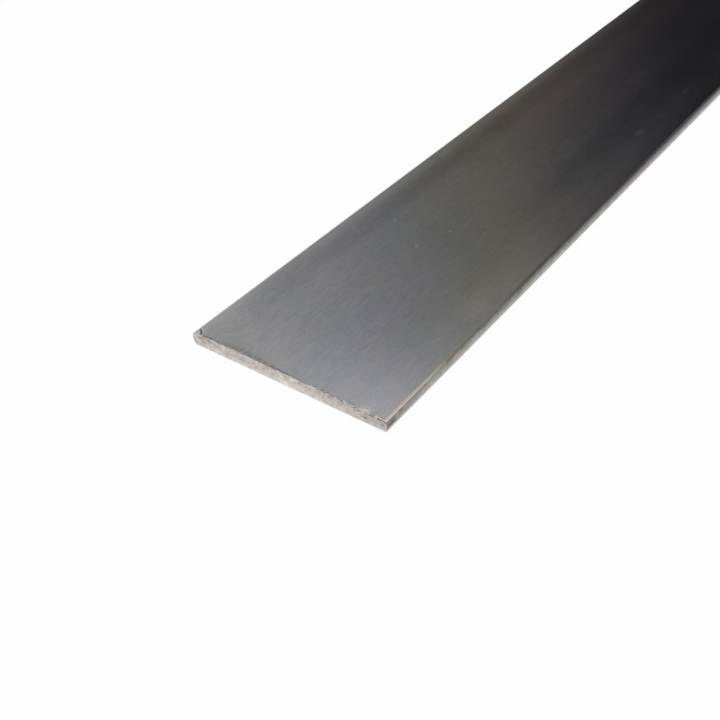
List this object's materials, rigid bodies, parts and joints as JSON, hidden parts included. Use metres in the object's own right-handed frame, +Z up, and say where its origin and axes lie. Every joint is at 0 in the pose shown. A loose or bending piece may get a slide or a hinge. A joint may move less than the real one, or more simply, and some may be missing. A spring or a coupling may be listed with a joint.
{
  "type": "steel flat bar",
  "caption": "Long straight steel flat bar with rounded long edges and shear-cropped ends, raw stock for brackets, frames and straps.",
  "frame": {"origin": "middle of the bottom face, on the surface that the bar lies on", "axes": "+X along the bar, +Y across its width, +Z up through its thickness"},
  "size_m": [1, 0.05, 0.003],
  "materials": {
    "bare_steel": "bare satin steel with a fine grain along its length, brighter on the worn long edges, pale and mottled on the cropped ends"
  },
  "bodies": {
    "root": {"flat_bar": "bare_steel"}
  },
  "joints": []
}
